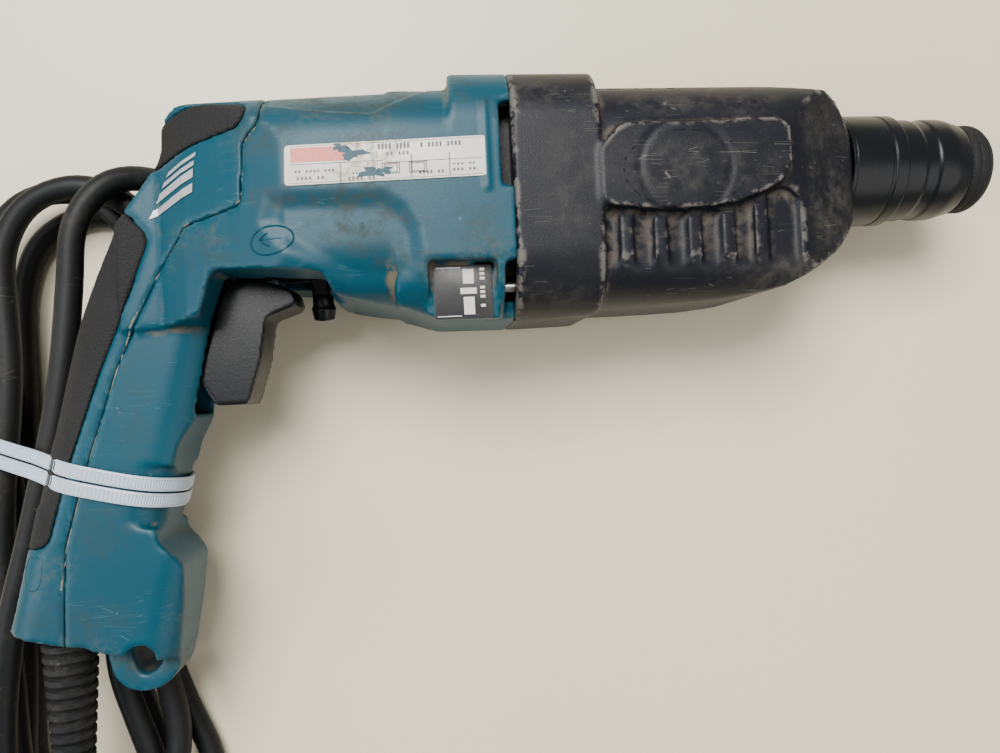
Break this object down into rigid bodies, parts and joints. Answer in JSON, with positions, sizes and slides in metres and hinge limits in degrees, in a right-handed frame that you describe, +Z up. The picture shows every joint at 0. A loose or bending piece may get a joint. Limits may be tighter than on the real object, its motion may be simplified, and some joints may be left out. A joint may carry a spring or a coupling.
{
  "type": "rotary hammer",
  "caption": "Corded rotary hammer with pistol grip, inline motor, black ribbed gear housing and pull-back quick-change chuck, resting on its side, its cord bundled to the grip",
  "frame": {"origin": "middle of the tool's bounding box on the surface it rests on, cord bundle left out; the tool lies on its left side", "axes": "+X along the spindle to the nose (longest extent), +Y the top of the tool, +Z up from the surface, which is the right side of the tool"},
  "size_m": [0.3746, 0.3184, 0.077],
  "materials": {
    "teal_plastic": "satin moulded plastic, worn",
    "black_housing": "scuffed satin black paint",
    "black_plastic": "satin black plastic",
    "black_rubber": "textured rubber",
    "cord_rubber": "smooth rubber sheath",
    "silver_foil": "silver printed film",
    "label_white": "printed film",
    "label_black": "printed film",
    "steel": "machined",
    "bearing_steel": "ground",
    "zinc_screw": "zinc plated",
    "alloy": "cast",
    "lamination": "stacked lamination",
    "copper": "enamelled copper wire",
    "brass": "bright",
    "carbon": "pressed carbon",
    "nylon_white": "translucent nylon",
    "red_plastic": "moulded",
    "film_yellow": "wrapped film"
  },
  "bodies": {
    "tool": {"motor_housing": "teal_plastic", "handle_cover": "teal_plastic", "gear_housing": "black_housing", "inner_housing": "alloy", "barrel_collar": "black_housing", "rear_grip_pad": "black_rubber", "top_grip_pad": "black_rubber", "silver_stripes": "silver_foil", "rating_label": "label_white", "serial_label": "label_black", "gear_housing_screws": "zinc_screw", "cover_screws": "zinc_screw", "stator": "lamination", "field_coils": "copper", "rear_bearing": "bearing_steel", "front_bearing": "bearing_steel", "baffle_plate": "black_plastic", "trigger_spring": "bearing_steel", "switch_body": "black_plastic", "capacitor": "film_yellow", "camshaft_bearings": "bearing_steel", "spindle_bearing": "bearing_steel", "oil_seal": "black_rubber", "cord_clamp": "black_plastic", "clamp_screws": "zinc_screw", "cord_guard": "black_rubber", "cord_lead": "cord_rubber", "cord_hank": "cord_rubber", "plug_body": "black_plastic", "plug_pins": "zinc_screw", "cable_tie": "nylon_white"},
    "armature": {"armature_shaft": "steel", "armature_core": "lamination", "commutator": "copper", "fan": "black_plastic"},
    "camshaft_body": {"camshaft": "steel", "cam_gear": "steel", "drive_pinion": "steel", "swash_hub": "steel"},
    "spindle": {"tool_holder": "steel", "spindle_gear": "steel", "retaining_ring": "bearing_steel", "front_cap": "black_rubber", "sleeve_spring": "bearing_steel"},
    "cover_sleeve": {"chuck_sleeve": "black_plastic"},
    "ball_upper": {"locking_ball_upper": "bearing_steel"},
    "ball_lower": {"locking_ball_lower": "bearing_steel"},
    "swash": {"swash_ring": "steel"},
    "piston": {"piston_cylinder": "alloy"},
    "pin": {"piston_pin": "steel"},
    "striker_body": {"striker": "steel", "striker_ring": "black_rubber"},
    "bolt": {"impact_bolt": "steel"},
    "reverser": {"reversing_lever": "black_plastic", "brush_holders": "brass", "carbon_brushes": "carbon"},
    "trigger_body": {"trigger": "black_plastic"},
    "lock": {"lock_button": "black_plastic"},
    "mode": {"change_lever": "black_plastic"},
    "mode_button": {"change_lever_button": "red_plastic"}
  },
  "joints": [
    {"name": "armature_spin", "type": "hinge", "parent": "tool", "child": "armature", "pos_m": [-0.0459, 0.0627, 0.0385], "axis": [1, 0, 0], "continuous": true},
    {"name": "camshaft_spin", "type": "hinge", "parent": "tool", "child": "camshaft_body", "pos_m": [0.0341, 0.0438, 0.0385], "axis": [1, 0, 0], "continuous": true},
    {"name": "spindle_spin", "type": "hinge", "parent": "tool", "child": "spindle", "pos_m": [0.0941, 0.0708, 0.0385], "axis": [1, 0, 0], "continuous": true},
    {"name": "sleeve_slide", "type": "slide", "parent": "spindle", "child": "cover_sleeve", "axis": [-1, 0, 0], "range_m": [0, 0.008], "stiffness_N_per_m": 600, "springref_m": -0.012, "deforming": ["sleeve_spring"]},
    {"name": "ball_upper_slide", "type": "slide", "parent": "spindle", "child": "ball_upper", "axis": [0, 1, 0], "range_m": [0, 0.0015]},
    {"name": "ball_lower_slide", "type": "slide", "parent": "spindle", "child": "ball_lower", "axis": [0, -1, 0], "range_m": [0, 0.0015]},
    {"name": "swash_tilt", "type": "hinge", "parent": "tool", "child": "swash", "pos_m": [0.0281, 0.0438, 0.0385], "axis": [0, 0, 1], "range_deg": [-12.5, 12.5]},
    {"name": "piston_slide", "type": "slide", "parent": "tool", "child": "piston", "axis": [1, 0, 0], "range_m": [-0.0063, 0.0063]},
    {"name": "pin_turn", "type": "hinge", "parent": "piston", "child": "pin", "pos_m": [0.0281, 0.0708, 0.0385], "axis": [0, 0, 1], "range_deg": [-14, 14]},
    {"name": "striker_slide", "type": "slide", "parent": "tool", "child": "striker_body", "axis": [1, 0, 0], "range_m": [-0.003, 0.004]},
    {"name": "bolt_slide", "type": "slide", "parent": "tool", "child": "bolt", "axis": [1, 0, 0], "range_m": [0, 0.005]},
    {"name": "reversing_swing", "type": "hinge", "parent": "tool", "child": "reverser", "pos_m": [-0.0889, 0.0627, 0.0385], "axis": [1, 0, 0], "range_deg": [-28, 0]},
    {"name": "trigger_pull", "type": "slide", "parent": "tool", "child": "trigger_body", "axis": [-1, 0, 0], "range_m": [0, 0.006], "stiffness_N_per_m": 800, "springref_m": -0.003, "deforming": ["trigger_spring"]},
    {"name": "lock_press", "type": "slide", "parent": "tool", "child": "lock", "axis": [0, 0, 1], "range_m": [0, 0.003], "stiffness_N_per_m": 300, "springref_m": -0.003},
    {"name": "mode_turn", "type": "hinge", "parent": "tool", "child": "mode", "pos_m": [0.0581, 0.0642, 0.0045], "axis": [0, 0, -1], "range_deg": [0, 90]},
    {"name": "mode_button_press", "type": "slide", "parent": "mode", "child": "mode_button", "axis": [0, 0, 1], "range_m": [0, 0.0015], "stiffness_N_per_m": 300, "springref_m": -0.002}
  ],
  "couplings": [
    {"joint": "camshaft_spin", "follows": "armature_spin", "ratio": -0.27273},
    {"joint": "spindle_spin", "follows": "armature_spin", "ratio": 0.061983},
    {"joint": "ball_upper_slide", "follows": "sleeve_slide", "ratio": 0.1875},
    {"joint": "ball_lower_slide", "follows": "sleeve_slide", "ratio": 0.1875},
    {"joint": "piston_slide", "follows": "swash_tilt", "m_per_rad": -0.027},
    {"joint": "pin_turn", "follows": "swash_tilt", "ratio": 1}
  ]
}
